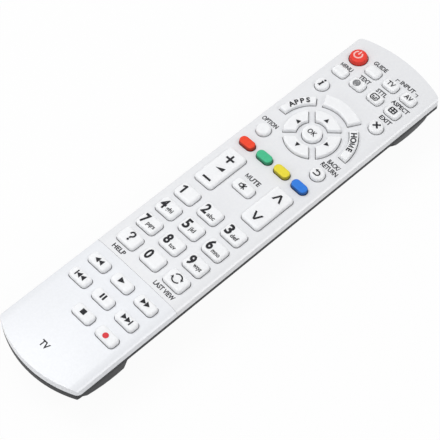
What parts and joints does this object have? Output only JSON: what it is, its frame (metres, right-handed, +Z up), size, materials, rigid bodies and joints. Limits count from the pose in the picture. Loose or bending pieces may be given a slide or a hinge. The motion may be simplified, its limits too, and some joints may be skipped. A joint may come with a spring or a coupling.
{
  "type": "television remote control",
  "caption": "Long hand-held remote control with a crowned pale front, sprung white keys, a direction ring, coloured keys, rockers, and a dark footed hull with a battery bay",
  "frame": {"origin": "under the middle of the body, at the level of the feet", "axes": "+Y runs to the far end, +X to the right of the user, +Z up out of the keys"},
  "size_m": [0.0524, 0.233, 0.0272],
  "materials": {
    "cover": "fine satin moulding",
    "back": "fine matt moulding",
    "key": "smooth coated rubber",
    "key_power": "smooth coated rubber",
    "key_red": "smooth coated rubber",
    "key_green": "smooth coated rubber",
    "key_yellow": "smooth coated rubber",
    "key_blue": "smooth coated rubber",
    "sheet": "matt rubber sheet",
    "board": "solder-masked board",
    "cell": "plain metal sleeve",
    "contact": "plated spring steel",
    "emitter": "clear tinted resin",
    "window": "dark red tinted plastic"
  },
  "bodies": {
    "body": {"front_cover": "cover", "lower_cover": "cover", "back_cover": "back", "key_sheet": "sheet", "circuit_board": "board", "cell_a": "cell", "cell_b": "cell", "spring_contacts": "contact", "plate_contacts": "contact", "emitter": "emitter", "emitter_window": "window"},
    "battery_door": {"battery_door": "back"},
    "key_power": {"key_power": "key_power"},
    "key_guide": {"key_guide": "key"},
    "key_tv": {"key_tv": "key"},
    "key_av": {"key_av": "key"},
    "key_menu": {"key_menu": "key"},
    "key_text": {"key_text": "key"},
    "key_subtitle": {"key_subtitle": "key"},
    "key_aspect": {"key_aspect": "key"},
    "key_info": {"key_info": "key"},
    "key_exit": {"key_exit": "key"},
    "key_apps": {"key_apps": "key"},
    "key_top": {"key_top": "key"},
    "key_home": {"key_home": "key"},
    "key_up": {"key_up": "key"},
    "key_right": {"key_right": "key"},
    "key_down": {"key_down": "key"},
    "key_left": {"key_left": "key"},
    "key_ok": {"key_ok": "key"},
    "key_option": {"key_option": "key"},
    "key_back": {"key_back": "key"},
    "key_red": {"key_red": "key_red"},
    "key_green": {"key_green": "key_green"},
    "key_yellow": {"key_yellow": "key_yellow"},
    "key_blue": {"key_blue": "key_blue"},
    "key_mute": {"key_mute": "key"},
    "key_1": {"key_1": "key"},
    "key_2": {"key_2": "key"},
    "key_3": {"key_3": "key"},
    "key_4": {"key_4": "key"},
    "key_5": {"key_5": "key"},
    "key_6": {"key_6": "key"},
    "key_7": {"key_7": "key"},
    "key_8": {"key_8": "key"},
    "key_9": {"key_9": "key"},
    "key_help": {"key_help": "key"},
    "key_0": {"key_0": "key"},
    "key_last": {"key_last": "key"},
    "key_rewind": {"key_rewind": "key"},
    "key_play": {"key_play": "key"},
    "key_forward": {"key_forward": "key"},
    "key_previous": {"key_previous": "key"},
    "key_pause": {"key_pause": "key"},
    "key_next": {"key_next": "key"},
    "key_stop": {"key_stop": "key"},
    "key_record": {"key_record": "key"},
    "rocker_volume": {"rocker_volume": "key"},
    "rocker_channel": {"rocker_channel": "key"}
  },
  "joints": [
    {"name": "key_power_press", "type": "slide", "parent": "body", "child": "key_power", "axis": [0, 0, -1], "range_m": [0, 0.0008], "stiffness_N_per_m": 900, "springref_m": -0.0003},
    {"name": "key_guide_press", "type": "slide", "parent": "body", "child": "key_guide", "axis": [0, 0, -1], "range_m": [0, 0.0008], "stiffness_N_per_m": 900, "springref_m": -0.0003},
    {"name": "key_tv_press", "type": "slide", "parent": "body", "child": "key_tv", "axis": [0, 0, -1], "range_m": [0, 0.0008], "stiffness_N_per_m": 900, "springref_m": -0.0003},
    {"name": "key_av_press", "type": "slide", "parent": "body", "child": "key_av", "axis": [0, 0, -1], "range_m": [0, 0.0008], "stiffness_N_per_m": 900, "springref_m": -0.0003},
    {"name": "key_menu_press", "type": "slide", "parent": "body", "child": "key_menu", "axis": [0, 0, -1], "range_m": [0, 0.0008], "stiffness_N_per_m": 900, "springref_m": -0.0003},
    {"name": "key_text_press", "type": "slide", "parent": "body", "child": "key_text", "axis": [0, 0, -1], "range_m": [0, 0.0008], "stiffness_N_per_m": 900, "springref_m": -0.0003},
    {"name": "key_subtitle_press", "type": "slide", "parent": "body", "child": "key_subtitle", "axis": [0, 0, -1], "range_m": [0, 0.0008], "stiffness_N_per_m": 900, "springref_m": -0.0003},
    {"name": "key_aspect_press", "type": "slide", "parent": "body", "child": "key_aspect", "axis": [0, 0, -1], "range_m": [0, 0.0008], "stiffness_N_per_m": 900, "springref_m": -0.0003},
    {"name": "key_info_press", "type": "slide", "parent": "body", "child": "key_info", "axis": [0, 0, -1], "range_m": [0, 0.0008], "stiffness_N_per_m": 900, "springref_m": -0.0003},
    {"name": "key_exit_press", "type": "slide", "parent": "body", "child": "key_exit", "axis": [0, 0, -1], "range_m": [0, 0.0008], "stiffness_N_per_m": 900, "springref_m": -0.0003},
    {"name": "key_apps_press", "type": "slide", "parent": "body", "child": "key_apps", "axis": [0, 0, -1], "range_m": [0, 0.0008], "stiffness_N_per_m": 900, "springref_m": -0.0003},
    {"name": "key_top_press", "type": "slide", "parent": "body", "child": "key_top", "axis": [0, 0, -1], "range_m": [0, 0.0008], "stiffness_N_per_m": 900, "springref_m": -0.0003},
    {"name": "key_home_press", "type": "slide", "parent": "body", "child": "key_home", "axis": [0, 0, -1], "range_m": [0, 0.0008], "stiffness_N_per_m": 900, "springref_m": -0.0003},
    {"name": "key_up_press", "type": "slide", "parent": "body", "child": "key_up", "axis": [0, 0, -1], "range_m": [0, 0.0008], "stiffness_N_per_m": 900, "springref_m": -0.0003},
    {"name": "key_right_press", "type": "slide", "parent": "body", "child": "key_right", "axis": [0, 0, -1], "range_m": [0, 0.0008], "stiffness_N_per_m": 900, "springref_m": -0.0003},
    {"name": "key_down_press", "type": "slide", "parent": "body", "child": "key_down", "axis": [0, 0, -1], "range_m": [0, 0.0008], "stiffness_N_per_m": 900, "springref_m": -0.0003},
    {"name": "key_left_press", "type": "slide", "parent": "body", "child": "key_left", "axis": [0, 0, -1], "range_m": [0, 0.0008], "stiffness_N_per_m": 900, "springref_m": -0.0003},
    {"name": "key_ok_press", "type": "slide", "parent": "body", "child": "key_ok", "axis": [0, 0, -1], "range_m": [0, 0.0008], "stiffness_N_per_m": 900, "springref_m": -0.0003},
    {"name": "key_option_press", "type": "slide", "parent": "body", "child": "key_option", "axis": [0, 0, -1], "range_m": [0, 0.0008], "stiffness_N_per_m": 900, "springref_m": -0.0003},
    {"name": "key_back_press", "type": "slide", "parent": "body", "child": "key_back", "axis": [0, 0, -1], "range_m": [0, 0.0008], "stiffness_N_per_m": 900, "springref_m": -0.0003},
    {"name": "key_red_press", "type": "slide", "parent": "body", "child": "key_red", "axis": [0, 0, -1], "range_m": [0, 0.0008], "stiffness_N_per_m": 900, "springref_m": -0.0003},
    {"name": "key_green_press", "type": "slide", "parent": "body", "child": "key_green", "axis": [0, 0, -1], "range_m": [0, 0.0008], "stiffness_N_per_m": 900, "springref_m": -0.0003},
    {"name": "key_yellow_press", "type": "slide", "parent": "body", "child": "key_yellow", "axis": [0, 0, -1], "range_m": [0, 0.0008], "stiffness_N_per_m": 900, "springref_m": -0.0003},
    {"name": "key_blue_press", "type": "slide", "parent": "body", "child": "key_blue", "axis": [0, 0, -1], "range_m": [0, 0.0008], "stiffness_N_per_m": 900, "springref_m": -0.0003},
    {"name": "key_mute_press", "type": "slide", "parent": "body", "child": "key_mute", "axis": [0, 0, -1], "range_m": [0, 0.0008], "stiffness_N_per_m": 900, "springref_m": -0.0003},
    {"name": "key_1_press", "type": "slide", "parent": "body", "child": "key_1", "axis": [0, 0, -1], "range_m": [0, 0.0008], "stiffness_N_per_m": 900, "springref_m": -0.0003},
    {"name": "key_2_press", "type": "slide", "parent": "body", "child": "key_2", "axis": [0, 0, -1], "range_m": [0, 0.0008], "stiffness_N_per_m": 900, "springref_m": -0.0003},
    {"name": "key_3_press", "type": "slide", "parent": "body", "child": "key_3", "axis": [0, 0, -1], "range_m": [0, 0.0008], "stiffness_N_per_m": 900, "springref_m": -0.0003},
    {"name": "key_4_press", "type": "slide", "parent": "body", "child": "key_4", "axis": [0, 0, -1], "range_m": [0, 0.0008], "stiffness_N_per_m": 900, "springref_m": -0.0003},
    {"name": "key_5_press", "type": "slide", "parent": "body", "child": "key_5", "axis": [0, 0, -1], "range_m": [0, 0.0008], "stiffness_N_per_m": 900, "springref_m": -0.0003},
    {"name": "key_6_press", "type": "slide", "parent": "body", "child": "key_6", "axis": [0, 0, -1], "range_m": [0, 0.0008], "stiffness_N_per_m": 900, "springref_m": -0.0003},
    {"name": "key_7_press", "type": "slide", "parent": "body", "child": "key_7", "axis": [0, 0, -1], "range_m": [0, 0.0008], "stiffness_N_per_m": 900, "springref_m": -0.0003},
    {"name": "key_8_press", "type": "slide", "parent": "body", "child": "key_8", "axis": [0, 0, -1], "range_m": [0, 0.0008], "stiffness_N_per_m": 900, "springref_m": -0.0003},
    {"name": "key_9_press", "type": "slide", "parent": "body", "child": "key_9", "axis": [0, 0, -1], "range_m": [0, 0.0008], "stiffness_N_per_m": 900, "springref_m": -0.0003},
    {"name": "key_help_press", "type": "slide", "parent": "body", "child": "key_help", "axis": [0, 0, -1], "range_m": [0, 0.0008], "stiffness_N_per_m": 900, "springref_m": -0.0003},
    {"name": "key_0_press", "type": "slide", "parent": "body", "child": "key_0", "axis": [0, 0, -1], "range_m": [0, 0.0008], "stiffness_N_per_m": 900, "springref_m": -0.0003},
    {"name": "key_last_press", "type": "slide", "parent": "body", "child": "key_last", "axis": [0, 0, -1], "range_m": [0, 0.0008], "stiffness_N_per_m": 900, "springref_m": -0.0003},
    {"name": "key_rewind_press", "type": "slide", "parent": "body", "child": "key_rewind", "axis": [0, 0, -1], "range_m": [0, 0.0008], "stiffness_N_per_m": 900, "springref_m": -0.0003},
    {"name": "key_play_press", "type": "slide", "parent": "body", "child": "key_play", "axis": [0, 0, -1], "range_m": [0, 0.0008], "stiffness_N_per_m": 900, "springref_m": -0.0003},
    {"name": "key_forward_press", "type": "slide", "parent": "body", "child": "key_forward", "axis": [0, 0, -1], "range_m": [0, 0.0008], "stiffness_N_per_m": 900, "springref_m": -0.0003},
    {"name": "key_previous_press", "type": "slide", "parent": "body", "child": "key_previous", "axis": [0, 0, -1], "range_m": [0, 0.0008], "stiffness_N_per_m": 900, "springref_m": -0.0003},
    {"name": "key_pause_press", "type": "slide", "parent": "body", "child": "key_pause", "axis": [0, 0, -1], "range_m": [0, 0.0008], "stiffness_N_per_m": 900, "springref_m": -0.0003},
    {"name": "key_next_press", "type": "slide", "parent": "body", "child": "key_next", "axis": [0, 0, -1], "range_m": [0, 0.0008], "stiffness_N_per_m": 900, "springref_m": -0.0003},
    {"name": "key_stop_press", "type": "slide", "parent": "body", "child": "key_stop", "axis": [0, 0, -1], "range_m": [0, 0.0008], "stiffness_N_per_m": 900, "springref_m": -0.0003},
    {"name": "key_record_press", "type": "slide", "parent": "body", "child": "key_record", "axis": [0, 0, -1], "range_m": [0, 0.0008], "stiffness_N_per_m": 900, "springref_m": -0.0003},
    {"name": "rocker_volume_rock", "type": "hinge", "parent": "body", "child": "rocker_volume", "pos_m": [-0.0151, 0.0105, 0.0234], "axis": [1, 0, 0], "range_deg": [-4, 4], "stiffness_Nm_per_rad": 0.12},
    {"name": "rocker_channel_rock", "type": "hinge", "parent": "body", "child": "rocker_channel", "pos_m": [0.0151, 0.0105, 0.0234], "axis": [1, 0, 0], "range_deg": [-4, 4], "stiffness_Nm_per_rad": 0.12},
    {"name": "battery_door_tilt", "type": "hinge", "parent": "body", "child": "battery_door", "pos_m": [0, -0.07945, 0.003], "axis": [-1, 0, 0], "range_deg": [0, 80]}
  ]
}
